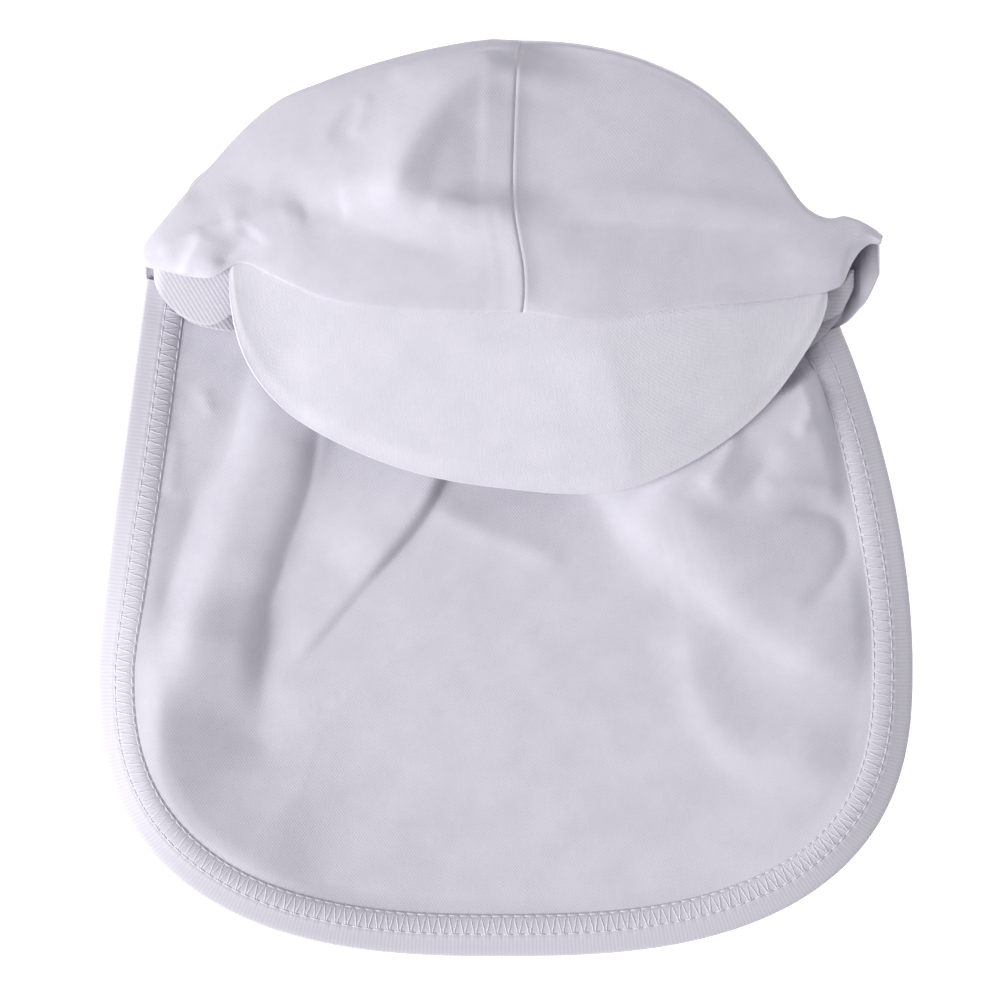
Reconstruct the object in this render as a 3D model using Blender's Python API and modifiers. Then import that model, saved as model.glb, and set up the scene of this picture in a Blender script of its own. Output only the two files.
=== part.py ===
"""Legionnaire hat for a baby, in white cotton knit, lying on its back as it is laid out flat.

Metres, +Z up. The hat's front faces up, the crown's far end points to +Y and the neck flap's hem to -Y.
Left and right are as seen from above with the hem nearest. The origin is on the floor under the middle
of the hat's box. Places are read from a few functions that neighbouring pieces share, so that they meet.
"""

import math

import bmesh
import bpy
import numpy as np

# Overall sizes of the hat as it lies
CROWN_WIDTH = 0.2054
CROWN_DEPTH = 0.0753
CROWN_HEIGHT = 0.030
FLAP_WIDTH = 0.2276
FLAP_LENGTH = 0.1794
PEAK_WIDTH = 0.1660
PEAK_DEPTH = 0.0503

# Cloth, trim and clearance
KNIT = 0.0012
BINDING_WALL = 0.0010
BINDING_WIDTH = 0.0059
BAND_WALL = 0.0017
BAND_WIDTH = 0.0170
BAND_SLIT = 0.0022
PEAK_WALL = 0.0032
PEAK_TUCK = 0.0040
GAP = 0.0003
PEAK_CLEARANCE = 0.0005

# Where pieces sit
CROWN_SHIFT = 0.0014
PEAK_SHIFT = 0.0063
SEAM_X = 0.0030
PEAK_EDGE_HEIGHT = 0.0155

# How far folds and rolled edges stand up
CROWN_FOLD = 0.0050
FLAP_FOLD = 0.0080
HEM_ROLL = 0.0055
ROLL_WIDTH = 0.0085

# The mouth line, from which the crown's depth and the flap's length are measured
MOUTH_Y = (FLAP_LENGTH - CROWN_DEPTH) / 2
CROWN_REACH = CROWN_WIDTH / 2
FLAP_REACH = FLAP_WIDTH / 2
PEAK_REACH = PEAK_WIDTH / 2

# The binding's section: angles of its inner corners round the flap's cut edge, from under it to above it
BINDING_CORNERS = (-90, -30, 30, 90)

# Heights of the layers that lie on each other at the ears. The peak's slope makes its layer a little
# higher than its wall, and the corners of the binding's section reach past its wall
BOUND_WALL = KNIT + 2 * (GAP + BINDING_WALL / math.cos(math.radians(BINDING_CORNERS[2])))
EAR_HEIGHT = BOUND_WALL + 2 * GAP + 2 * BAND_WALL + BAND_SLIT
PEAK_LAYER = 1.12 * PEAK_WALL + PEAK_CLEARANCE
EAR_NOSE = 3.2 * KNIT

# The crown from above, by share of CROWN_REACH. front, far and back: shares of CROWN_DEPTH beyond the
# mouth line, for the front edge over the peak, the far end and the back edge where the flap is sewn on.
# rim and crest: height of the front edge and of the crest, shares of what CROWN_HEIGHT leaves above the ears
CROWN = (
    # across, front, far, back, rim, crest
    (-1.00, 0.155, 0.265, 0.140, 0.00, 0.36),
    (-0.95, 0.160, 0.330, 0.125, 0.02, 0.50),
    (-0.88, 0.140, 0.440, 0.108, 0.10, 0.60),
    (-0.80, 0.135, 0.560, 0.092, 0.22, 0.66),
    (-0.73, 0.185, 0.665, 0.078, 0.32, 0.70),
    (-0.64, 0.135, 0.770, 0.062, 0.42, 0.75),
    (-0.50, 0.052, 0.855, 0.040, 0.52, 0.84),
    (-0.34, 0.018, 0.928, 0.015, 0.60, 0.93),
    (-0.15, 0.003, 0.982, -0.005, 0.66, 1.00),
    (0.05, 0.000, 1.000, -0.022, 0.68, 1.00),
    (0.22, -0.032, 0.980, -0.034, 0.67, 0.96),
    (0.37, 0.002, 0.925, -0.042, 0.63, 0.89),
    (0.55, 0.030, 0.790, -0.050, 0.50, 0.79),
    (0.70, 0.050, 0.570, -0.054, 0.38, 0.68),
    (0.80, 0.070, 0.385, -0.056, 0.29, 0.59),
    (0.87, 0.090, 0.352, -0.052, 0.23, 0.52),
    (0.92, 0.170, 0.345, -0.020, 0.14, 0.46),
    (0.96, 0.205, 0.325, 0.040, 0.06, 0.42),
    (1.00, 0.225, 0.310, 0.150, 0.00, 0.35),
)

# One section of the crown from the front edge over the peak, up the bulge, over the crest and round the far
# end to the floor. along: share from front to far, of_rim and of_crest: shares of those two heights
CROWN_SECTION = (
    # way, along, of_rim, of_crest
    (0.00, 0.000, 1.000, 0.000),
    (0.05, 0.004, 0.770, 0.230),
    (0.10, 0.022, 0.600, 0.400),
    (0.16, 0.080, 0.450, 0.550),
    (0.23, 0.180, 0.310, 0.690),
    (0.30, 0.290, 0.160, 0.840),
    (0.36, 0.410, 0.050, 0.950),
    (0.43, 0.580, 0.000, 1.000),
    (0.50, 0.770, 0.000, 0.990),
    (0.56, 0.890, 0.000, 0.950),
    (0.62, 0.965, 0.000, 0.840),
    (0.68, 1.000, 0.000, 0.590),
    (0.74, 0.995, 0.000, 0.300),
    (0.79, 0.945, 0.000, 0.090),
    (0.84, 0.850, 0.000, 0.000),
)
FLOOR_WAY = 0.84

# The peak's free edge from its left to its right corner. turn: share of a quarter turn from the middle,
# reach: share of PEAK_DEPTH in front of the mouth line
PEAK_EDGE = (
    # turn, reach
    (-1.00, -0.240),
    (-0.81, 0.205),
    (-0.62, 0.520),
    (-0.44, 0.720),
    (-0.22, 0.900),
    (-0.02, 0.978),
    (0.10, 1.000),
    (0.20, 0.980),
    (0.37, 0.820),
    (0.56, 0.553),
    (0.75, 0.220),
    (1.00, -0.115),
)

# Folds of the crown's upper side, ridges above 0 and dents below. across and along: shares of CROWN_REACH
# and of CROWN_DEPTH beyond the mouth line. rise: share of CROWN_FOLD. left and right: how far the fold
# spreads on either side, shares of CROWN_REACH
CROWN_FOLDS = (
    # start across, along, middle across, along, end across, along, rise, left, right
    (-0.03, 1.00, -0.26, 0.68, -0.39, 0.30, 0.80, 0.22, 0.14),
    (-0.02, 0.94, -0.04, 0.62, -0.05, 0.30, -0.45, 0.09, 0.12),
    (-0.62, 0.28, -0.50, 0.37, -0.36, 0.46, -0.70, 0.07, 0.09),
    (-0.92, 0.20, -0.80, 0.32, -0.64, 0.42, -0.60, 0.06, 0.06),
    (-0.74, 0.24, -0.63, 0.34, -0.50, 0.44, 0.65, 0.07, 0.07),
    (-0.24, 0.38, 0.02, 0.38, 0.30, 0.36, -0.60, 0.06, 0.06),
    (0.30, 0.37, 0.58, 0.34, 0.82, 0.30, -0.40, 0.07, 0.07),
)

# Folds of the flap. across: share of FLAP_REACH, along: share of FLAP_LENGTH from the mouth line to the
# hem. rise: share of FLAP_FOLD. left and right: how far the fold spreads, shares of FLAP_REACH
FLAP_FOLDS = (
    # start across, along, middle across, along, end across, along, rise, left, right
    (-0.56, 0.12, -0.68, 0.38, -0.82, 0.64, 0.60, 0.10, 0.16),
    (-0.76, 0.50, -0.84, 0.74, -0.56, 0.96, 0.85, 0.12, 0.28),
    (-0.08, 0.16, -0.28, 0.38, -0.56, 0.60, 0.35, 0.16, 0.05),
    (0.20, 0.18, 0.50, 0.43, 0.88, 0.60, 0.55, 0.10, 0.24),
    (0.46, 0.46, 0.50, 0.66, 0.80, 0.72, 0.30, 0.08, 0.10),
    (-0.20, 0.27, 0.00, 0.35, 0.16, 0.41, 0.18, 0.07, 0.07),
)

# How strongly the flap's edge rolls down to the floor, by share of the way round it from left to right
EDGE_ROLL = (
    # way, roll
    (0.00, 0.00),
    (0.12, 0.20),
    (0.21, 0.70),
    (0.29, 1.00),
    (0.37, 0.90),
    (0.45, 0.15),
    (0.55, 0.05),
    (0.63, 0.30),
    (0.71, 0.80),
    (0.80, 0.70),
    (0.89, 0.20),
    (1.00, 0.00),
)

# The flap's outline: a hem fuller than a half ellipse, and sides that taper towards the crown
HEM_SHARE = 0.455
HEM_FULLNESS = 2.6
LEFT_TAPER = 0.115
LEFT_TAPER_POWER = 1.15
RIGHT_TAPER = 0.178
RIGHT_TAPER_POWER = 1.9
HEM_CORNERS = (0.36, 0.64)

# Where the rim band turns round at the ears, shares of CROWN_REACH
LEFT_TURN = -0.97
RIGHT_TURN = 0.93

# The band by shares of BAND_WIDTH: how far in its back edge is sewn, its width at an ear's nose and the
# most that its free edge sinks. SLIT_CLOSING: the share of its slit that the sunk edge may close
BAND_BACK = 0.35
BAND_NOSE = 0.25
BAND_SINK = 0.40
SLIT_CLOSING = 0.33

# Shares of the crown's reach at which the layers under its front edge change: the band past the binding
# and the peak past the left ear
BINDING_INNER = (0.68, 0.78)
PEAK_START = (-0.90, -0.80)

# How much of its height the crown keeps at the tip of an ear, and the share of the reach where that starts
TIP_KEPT = 0.80
TIP_START = 0.93

# The peak's edge: the share of the way to its corners where it starts to rise to the crown's front edge,
# and the share of its wall that is rounded off
CORNER_START = 0.55
PEAK_ROUNDING = 0.4

# Numbers of faces along and across each piece, and how much faces crowd towards the ears
EAR_CROWDING = 0.40
BAND_CROWDING = 0.35
CROWN_FACES = (17, 32)
FLAP_FACES = (28, 20)
PEAK_FACES = (26, 6)
BAND_FACES = (56, 3)
SIDE_SAMPLES = 150
HEM_SAMPLES = 400
FOLD_SAMPLES = 24


def read(table, column, at):
    """One column of a table, read smoothly at places along its first column."""
    knots = np.array([row[0] for row in table])
    values = np.array([row[column] for row in table])
    slopes = np.gradient(values, knots)
    at = np.clip(np.asarray(at, float), knots[0], knots[-1])
    low = np.clip(np.searchsorted(knots, at, side="right") - 1, 0, len(knots) - 2)
    span = knots[low + 1] - knots[low]
    t = (at - knots[low]) / span
    start = (1 + 2 * t) * (1 - t) ** 2 * values[low] + t * (1 - t) ** 2 * span * slopes[low]
    end = t**2 * (3 - 2 * t) * values[low + 1] + t**2 * (t - 1) * span * slopes[low + 1]
    return start + end


def ramp(t):
    """0 up to 0, 1 from 1 on, and smooth between."""
    t = np.clip(t, 0, 1)
    return t * t * (3 - 2 * t)


def arc(t):
    """A quarter circle's rise from 0 at 0 to 1 at 1."""
    return np.sqrt(1 - (1 - np.clip(t, 0, 1)) ** 2)


def fold_height(folds, x, y, reach, depth):
    """Sum of a table's folds at places x, y. Each fold is a line through three points that fades out."""
    total = np.zeros(np.shape(x))
    t = np.linspace(0, 1, FOLD_SAMPLES)
    start, middle, end = (1 - t) * (1 - 2 * t), 4 * t * (1 - t), t * (2 * t - 1)
    for ax, ay, bx, by, cx, cy, rise, left, right in folds:
        line_x = reach * (start * ax + middle * bx + end * cx)
        line_y = MOUTH_Y + depth * (start * ay + middle * by + end * cy)
        off_x = x[..., None] - line_x
        off_y = y[..., None] - line_y
        distance = np.hypot(off_x, off_y)
        nearest = distance.argmin(-1)
        beside = np.take_along_axis(off_x, nearest[..., None], -1)[..., 0]
        spread = reach * np.where(beside < 0, left, right)
        fade = ramp(t[nearest] / 0.25) * ramp((1 - t[nearest]) / 0.30)
        total += rise * fade * np.exp(-((distance.min(-1) / spread) ** 2))
    return total


def crown_across(x):
    return (np.asarray(x) - CROWN_SHIFT) / CROWN_REACH


def crown_y(column, across):
    """Y of the crown's front edge, far end or back edge."""
    return MOUTH_Y + CROWN_DEPTH * read(CROWN, column, across)


def front_y(across):
    return crown_y(1, across)


def back_y(across):
    return crown_y(3, across)


def rim_height(across):
    """Height of the crown's front edge, which the peak and the band pass under."""
    over_peak = ramp((across - PEAK_START[0]) / (PEAK_START[1] - PEAK_START[0]))
    layers = EAR_HEIGHT + PEAK_LAYER * over_peak
    return layers + (CROWN_HEIGHT - EAR_HEIGHT - PEAK_LAYER) * read(CROWN, 4, across)


def crest_height(across):
    low = EAR_HEIGHT + EAR_NOSE
    return low + (CROWN_HEIGHT - low) * read(CROWN, 5, across)


def crown_point(across, way):
    """A point of the crown's outer face: across from ear to ear, way from the front to the back edge."""
    front, far, back = front_y(across), crown_y(2, across), back_y(across)
    rising = np.minimum(way, FLOOR_WAY)
    y = front + (far - front) * read(CROWN_SECTION, 1, rising)
    y = y + (back - y) * np.clip((way - FLOOR_WAY) / (1 - FLOOR_WAY), 0, 1)
    rim, crest = rim_height(across), crest_height(across)
    z = rim * read(CROWN_SECTION, 2, rising) + crest * read(CROWN_SECTION, 3, rising)
    x = CROWN_SHIFT + CROWN_REACH * across
    upper = ramp((way - 0.05) / 0.15) * ramp((0.66 - way) / 0.16) * ramp((0.97 - np.abs(across)) / 0.2)
    z = z + CROWN_FOLD * upper * fold_height(CROWN_FOLDS, x, y, CROWN_REACH, CROWN_DEPTH)
    past_start = np.clip((np.abs(across) - TIP_START) / (1 - TIP_START), 0, 1)
    closing = 1 - (1 - TIP_KEPT) * (1 - np.sqrt(1 - past_start**2))
    waist = EAR_HEIGHT / 2
    return x, y, waist + (z - waist) * closing


def flap_outline():
    """The outer edge of the bound flap, from the left ear round to the right ear, and its inward side."""
    widest = MOUTH_Y - FLAP_LENGTH * (1 - HEM_SHARE)
    rise = np.linspace(1, 0, SIDE_SAMPLES, endpoint=False)
    turn = np.linspace(math.pi, 2 * math.pi, HEM_SAMPLES)
    left_x = -FLAP_REACH * (1 - LEFT_TAPER * rise**LEFT_TAPER_POWER)
    right_x = FLAP_REACH * (1 - RIGHT_TAPER * rise[::-1] ** RIGHT_TAPER_POWER)
    hem_x = FLAP_REACH * np.sign(np.cos(turn)) * np.abs(np.cos(turn)) ** (2 / HEM_FULLNESS)
    hem_y = -FLAP_LENGTH * HEM_SHARE * np.abs(np.sin(turn)) ** (2 / HEM_FULLNESS)
    left_top = back_y(crown_across(left_x[0])) - GAP
    right_top = back_y(crown_across(right_x[-1])) - GAP
    x = np.concatenate([left_x, hem_x, right_x])
    side_y = [rise * (left_top - widest), hem_y, rise[::-1] * (right_top - widest)]
    y = widest + np.concatenate(side_y)
    run = np.concatenate([[0], np.cumsum(np.hypot(np.diff(x), np.diff(y)))])
    run = run / run[-1]
    way = np.linspace(0, 1, 2 * SIDE_SAMPLES + HEM_SAMPLES)
    x, y = np.interp(way, run, x), np.interp(way, run, y)
    tangent_x, tangent_y = np.gradient(x), np.gradient(y)
    length = np.hypot(tangent_x, tangent_y)
    return way, x, y, -tangent_y / length, tangent_x / length


OUTLINE_WAY, OUTLINE_X, OUTLINE_Y, INWARD_X, INWARD_Y = flap_outline()
CUT_X = OUTLINE_X + INWARD_X * BOUND_WALL / 2
CUT_Y = OUTLINE_Y + INWARD_Y * BOUND_WALL / 2


def flap_inset(way, inset):
    """A place on the flap at a distance in from its cut edge, kept clear of the crown."""
    x = np.interp(way, OUTLINE_WAY, CUT_X + INWARD_X * inset)
    y = np.interp(way, OUTLINE_WAY, CUT_Y + INWARD_Y * inset)
    return x, np.minimum(y, back_y(crown_across(x)) - GAP)


def flap_height(x, y):
    """Height of the middle of the flap's cloth above the floor."""
    distance = np.hypot(x[..., None] - CUT_X, y[..., None] - CUT_Y)
    roll = HEM_ROLL * np.clip(read(EDGE_ROLL, 1, OUTLINE_WAY[distance.argmin(-1)]), 0, 1)
    inset = distance.min(-1)
    past_binding = ramp((inset - BINDING_WIDTH) / (1.5 * BINDING_WIDTH))
    lying = BOUND_WALL / 2 + (KNIT - BOUND_WALL) / 2 * past_binding
    rolled = roll * np.sin(np.clip(inset / ROLL_WIDTH, 0, 1) * math.pi / 2)
    rolled = rolled * np.exp(-((np.clip(inset - ROLL_WIDTH, 0, None) / (2 * ROLL_WIDTH)) ** 2))
    folds = FLAP_FOLD * fold_height(FLAP_FOLDS, x, y, FLAP_REACH, -FLAP_LENGTH)
    folds = np.clip(folds, 0, None) * ramp(inset / (4 * BINDING_WIDTH))
    free = ramp((MOUTH_Y - 0.10 * CROWN_DEPTH - y) / (0.16 * FLAP_LENGTH))
    return lying + (rolled + folds) * free


def edge_ways():
    """Shares of the way round the flap's edge at which both the flap and its binding have a section."""
    columns, rows = FLAP_FACES
    left, right = HEM_CORNERS
    left_side = np.linspace(0, left, rows, endpoint=False)
    right_side = 1 - left_side[::-1] * (1 - right) / left
    return np.concatenate([left_side, np.linspace(left, right, columns + 1), right_side])


def flap_places():
    """Places of the flap's grid: an outer ring of faces under the binding, and a patch inside it."""
    columns, rows = FLAP_FACES
    cut = np.stack(flap_inset(edge_ways(), 0.0), -1)
    places = np.zeros((columns + 1, rows + 1, 2))
    places[0] = cut[: rows + 1]
    places[:, rows] = cut[rows : rows + columns + 1]
    places[columns] = cut[rows + columns :][::-1]
    u = np.linspace(0, 1, columns - 1)
    v = np.linspace(0, 1, rows)
    start, stop = HEM_CORNERS
    left = np.stack(flap_inset(start * v, BINDING_WIDTH), -1)
    hem = np.stack(flap_inset(start + (stop - start) * u, BINDING_WIDTH), -1)
    right = np.stack(flap_inset(1 - (1 - stop) * v, BINDING_WIDTH), -1)
    top_x = left[0, 0] + (right[0, 0] - left[0, 0]) * u
    top = np.stack([top_x, back_y(crown_across(top_x)) - GAP], -1)
    u, v = u[:, None, None], v[None, :, None]
    sides = (1 - u) * left[None] + u * right[None] + (1 - v) * top[:, None] + v * hem[:, None]
    corners = (1 - v) * ((1 - u) * left[0] + u * right[0]) + v * ((1 - u) * left[-1] + u * right[-1])
    places[1:columns, :rows] = sides - corners
    return places


def peak_point(across, along):
    """A point of the peak's upper face: across from corner to corner, along from free edge to root."""
    turn = across * math.pi / 2
    edge_x = PEAK_SHIFT + PEAK_REACH * np.sin(turn)
    edge_y = MOUTH_Y - PEAK_DEPTH * read(PEAK_EDGE, 1, across)
    root_x = PEAK_SHIFT + (PEAK_REACH - PEAK_TUCK / 2) * np.sin(turn)
    root_y = front_y(crown_across(root_x)) + PEAK_TUCK
    root_z = rim_height(crown_across(root_x)) - PEAK_CLEARANCE
    corner = ramp((np.abs(across) - CORNER_START) / (1 - CORNER_START))
    low = EAR_HEIGHT + PEAK_LAYER
    edge_z = low + (PEAK_EDGE_HEIGHT - low) * np.cos(turn)
    edge_z = edge_z + (root_z - edge_z) * corner
    x = edge_x + (root_x - edge_x) * along
    y = edge_y + (root_y - edge_y) * along
    return x, y, edge_z + (root_z - edge_z) * along


def band_point(across, along):
    """A point of the band's outer face: across once round the mouth, along from free edge to sewn edge."""
    turn = across * math.pi + math.pi
    turn = turn - BAND_CROWDING / 2 * np.sin(2 * turn)
    middle, reach = (LEFT_TURN + RIGHT_TURN) / 2, (RIGHT_TURN - LEFT_TURN) / 2
    place = middle - reach * np.cos(turn)
    from_ear = CROWN_REACH * reach * (1 - np.abs(np.cos(turn)))
    upper = np.sin(turn) > 0
    front, back = front_y(place) + PEAK_TUCK, back_y(place) + BAND_BACK * BAND_WIDTH
    apart = ramp(from_ear / BAND_WIDTH)
    sewn = (front + back) / 2 + np.where(upper, front - back, back - front) / 2 * apart
    width = BAND_WIDTH * (BAND_NOSE + (1 - BAND_NOSE) * arc(from_ear / BAND_WIDTH))
    on_binding = ramp((np.abs(place) - BINDING_INNER[0]) / (BINDING_INNER[1] - BINDING_INNER[0]))
    under_peak = ramp((place - PEAK_START[0]) / (PEAK_START[1] - PEAK_START[0]))
    bottom = KNIT + GAP + (BOUND_WALL - KNIT) * on_binding
    top = rim_height(place) - GAP - PEAK_LAYER * under_peak
    drop = np.minimum(BAND_SINK * BAND_WIDTH, SLIT_CLOSING * (top - bottom - 2 * BAND_WALL))
    top = top - drop * (1 - along)
    half = (top - bottom) / 2
    bulge = half * arc(from_ear / half)
    x = CROWN_SHIFT + CROWN_REACH * place
    z = (top + bottom) / 2 + np.where(upper, bulge, -bulge)
    return x, sewn - width * (1 - along), z


def cloth(name, faces, place, wall, side, even, colour):
    """A sheet of cloth: a grid placed by a function of two shares, given its wall towards one side."""
    shape = bmesh.new()
    bmesh.ops.create_grid(shape, x_segments=faces[0], y_segments=faces[1], size=1)
    shares = np.array([vertex.co[:] for vertex in shape.verts])
    points = np.stack(place(shares[:, 0], (shares[:, 1] + 1) / 2), -1)
    for vertex, point in zip(shape.verts, points):
        vertex.co = point
    bmesh.ops.remove_doubles(shape, verts=shape.verts, dist=GAP / 30)
    mesh = bpy.data.meshes.new(name)
    shape.to_mesh(mesh)
    shape.free()
    mesh.shade_smooth()
    piece = bpy.data.objects.new(name, mesh)
    HAT.objects.link(piece)
    solid = piece.modifiers.new("wall", "SOLIDIFY")
    solid.thickness = wall
    solid.offset = side
    solid.use_even_offset = even
    material = bpy.data.materials.new(name)
    material.use_nodes = True
    finish = material.node_tree.nodes["Principled BSDF"]
    finish.inputs["Base Color"].default_value = (*colour, 1)
    finish.inputs["Roughness"].default_value = 0.9
    finish.inputs["Metallic"].default_value = 0.0
    mesh.materials.append(material)
    return piece


def crown_panel(start, end):
    """Places of one crown panel between two shares of the crown's reach, closer together at its ear."""

    def place(across, way):
        t = (across + 1) / 2
        if abs(start) > abs(end):
            t = 1 - (1 - t) * (1 + EAR_CROWDING - EAR_CROWDING * (1 - t) ** 2)
        else:
            t = t * (1 + EAR_CROWDING - EAR_CROWDING * t**2)
        return crown_point(start + (end - start) * t, way)

    return place


def flap_point(across, along):
    """The flap's grid, with along from hem to crown."""
    places = flap_places()
    columns, rows = FLAP_FACES
    i = np.rint((across + 1) / 2 * columns).astype(int)
    j = np.rint((1 - along) * rows).astype(int)
    x, y = places[i, j, 0], places[i, j, 1]
    return x, y, flap_height(x, y)


def binding_point(across, along):
    """The inner face of the binding: across along the flap's edge, along round the edge from below."""
    ways = edge_ways()
    station = np.rint((across + 1) / 2 * (len(ways) - 1)).astype(int)
    cut_x, cut_y = flap_inset(ways[station], 0.0)
    leg_x, leg_y = flap_inset(ways[station], BINDING_WIDTH)
    cut_z, leg_z = flap_height(cut_x, cut_y), flap_height(leg_x, leg_y)
    cut = np.stack([cut_x, cut_y, cut_z], -1)
    leg = np.stack([leg_x, leg_y, leg_z], -1)
    inward = (leg - cut) / np.linalg.norm(leg - cut, axis=-1)[:, None]
    flat = np.hypot(inward[:, 0], inward[:, 1])
    lift = np.stack([-inward[:, 0] * inward[:, 2] / flat, -inward[:, 1] * inward[:, 2] / flat, flat], -1)
    radius = KNIT / 2 + GAP
    corner = np.rint(along * BINDING_FACES).astype(int)
    tilt = np.radians(BINDING_CORNERS)[np.clip(corner - 1, 0, len(BINDING_CORNERS) - 1)]
    on_leg = (corner == 0) | (corner == BINDING_FACES)
    base = np.where(on_leg[:, None], leg, cut)
    points = base + radius * (np.sin(tilt)[:, None] * lift - np.cos(tilt)[:, None] * inward)
    return points.T


WHITE_JERSEY = (0.80, 0.79, 0.84)
WHITE_RIB = (0.83, 0.82, 0.87)
BINDING_FACES = len(BINDING_CORNERS) + 1

for old in list(bpy.data.objects):
    bpy.data.objects.remove(old)

HAT = bpy.data.collections.new("legionnaire_hat")
bpy.context.scene.collection.children.link(HAT)

seam = float(crown_across(SEAM_X))
seam_gap = GAP / 2 / CROWN_REACH
cloth("crown_left", CROWN_FACES, crown_panel(-1.0, seam - seam_gap), KNIT, -1, True, WHITE_JERSEY)
cloth("crown_right", CROWN_FACES, crown_panel(seam + seam_gap, 1.0), KNIT, -1, True, WHITE_JERSEY)
peak = cloth("peak", PEAK_FACES, peak_point, PEAK_WALL, -1, True, WHITE_JERSEY)
cloth("rim_band", BAND_FACES, band_point, BAND_WALL, -1, True, WHITE_RIB)
cloth("neck_flap", FLAP_FACES, flap_point, KNIT, 0, False, WHITE_JERSEY)
binding_faces = (len(edge_ways()) - 1, BINDING_FACES)
cloth("flap_binding", binding_faces, binding_point, BINDING_WALL, 1, True, WHITE_RIB)

rounding = peak.modifiers.new("turned edge", "BEVEL")
rounding.width = PEAK_ROUNDING * PEAK_WALL
rounding.segments = 2
rounding.limit_method = "ANGLE"

# Twisted faces are split the same way on both sides of a gap
for piece in HAT.objects:
    split = piece.modifiers.new("split", "TRIANGULATE")
    split.quad_method = "SHORTEST_DIAGONAL"
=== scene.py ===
import math

import bmesh
import bpy
import numpy as np
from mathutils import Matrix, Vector


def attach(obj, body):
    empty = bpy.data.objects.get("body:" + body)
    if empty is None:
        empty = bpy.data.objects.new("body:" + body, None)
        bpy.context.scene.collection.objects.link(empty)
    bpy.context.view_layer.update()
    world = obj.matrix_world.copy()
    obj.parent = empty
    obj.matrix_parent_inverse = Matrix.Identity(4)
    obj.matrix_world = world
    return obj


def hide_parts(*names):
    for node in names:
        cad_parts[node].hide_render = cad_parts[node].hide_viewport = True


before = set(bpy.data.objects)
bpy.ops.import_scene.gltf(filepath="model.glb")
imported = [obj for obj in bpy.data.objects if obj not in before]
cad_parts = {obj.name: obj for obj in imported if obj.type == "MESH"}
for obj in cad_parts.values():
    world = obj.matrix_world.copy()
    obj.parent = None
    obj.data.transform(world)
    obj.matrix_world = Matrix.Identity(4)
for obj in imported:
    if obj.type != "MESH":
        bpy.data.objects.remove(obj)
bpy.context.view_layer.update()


# The studio: a white sweep under a wide soft light at the lower left and a weak one opposite, with white
# walls all round that fill the shadows. The camera looks straight down from 1.6 m, and its picture takes in
# 280 mm of the floor. Sizes are in metres unless a comment says otherwise.
CAMERA_HEIGHT = 1.6
CAMERA_PLACE = (-0.0017, 0.00045)
PICTURE = 1000
PIXEL = 0.00028
SENSOR = 36.0
SOFT_BOXES = (
    # name, place, size, power
    ("main_soft_box", (-0.98, -0.50, 0.72), 0.9, 20.0),
    ("fill_soft_box", (0.95, 0.75, 0.75), 1.0, 5.0),
)
WALL_LIGHT = 0.26
FLOOR_SIZE = 8.0
PAPER_WHITE = "#FAFAFB"
PAPER_GLOW = 0.75


def linear(shade):
    """An sRGB hex colour as linear values."""
    values = [int(shade[i : i + 2], 16) / 255 for i in (1, 3, 5)]
    return [v / 12.92 if v <= 0.04045 else ((v + 0.055) / 1.055) ** 2.4 for v in values]


def add_node(material, kind, inputs, **settings):
    """Adds a node with its settings. Each of its inputs is given a value, or the socket that feeds it."""
    node = material.node_tree.nodes.new(kind)
    for name, value in settings.items():
        setattr(node, name, value)
    for name, value in inputs.items():
        if isinstance(value, bpy.types.NodeSocket):
            material.node_tree.links.new(value, node.inputs[name])
        else:
            node.inputs[name].default_value = value
    return node


camera = bpy.data.objects.new("camera", bpy.data.cameras.new("camera"))
camera.location = (*CAMERA_PLACE, CAMERA_HEIGHT)
camera.data.sensor_width = SENSOR
camera.data.lens = SENSOR * CAMERA_HEIGHT / (PICTURE * PIXEL)
bpy.context.scene.collection.objects.link(camera)
bpy.context.scene.camera = camera
bpy.context.scene.view_settings.view_transform = "Standard"

walls = bpy.data.worlds.new("white_walls")
walls.use_nodes = True
walls.node_tree.nodes["Background"].inputs["Color"].default_value = (1, 1, 1, 1)
walls.node_tree.nodes["Background"].inputs["Strength"].default_value = WALL_LIGHT
bpy.context.scene.world = walls

for name, place, size, power in SOFT_BOXES:
    soft_box = bpy.data.objects.new(name, bpy.data.lights.new(name, "AREA"))
    soft_box.data.size = size
    soft_box.data.energy = power
    soft_box.location = place
    soft_box.rotation_euler = (-Vector(place)).to_track_quat("-Z", "Y").to_euler()
    bpy.context.scene.collection.objects.link(soft_box)

# Matt white background paper, lit from behind so that it stays white: no weave and no sheen
paper = bpy.data.materials.new("matt_background_paper")
paper.use_nodes = True
paper_finish = paper.node_tree.nodes["Principled BSDF"]
paper_finish.inputs["Base Color"].default_value = (*linear(PAPER_WHITE), 1)
paper_finish.inputs["Roughness"].default_value = 0.95
paper_finish.inputs["Emission Color"].default_value = (1, 1, 1, 1)
paper_finish.inputs["Emission Strength"].default_value = PAPER_GLOW
shape = bmesh.new()
bmesh.ops.create_grid(shape, x_segments=1, y_segments=1, size=FLOOR_SIZE / 2)
floor_mesh = bpy.data.meshes.new("floor")
shape.to_mesh(floor_mesh)
shape.free()
floor_mesh.materials.append(paper)
floor = bpy.data.objects.new("floor", floor_mesh)
bpy.context.scene.collection.objects.link(floor)


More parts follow.
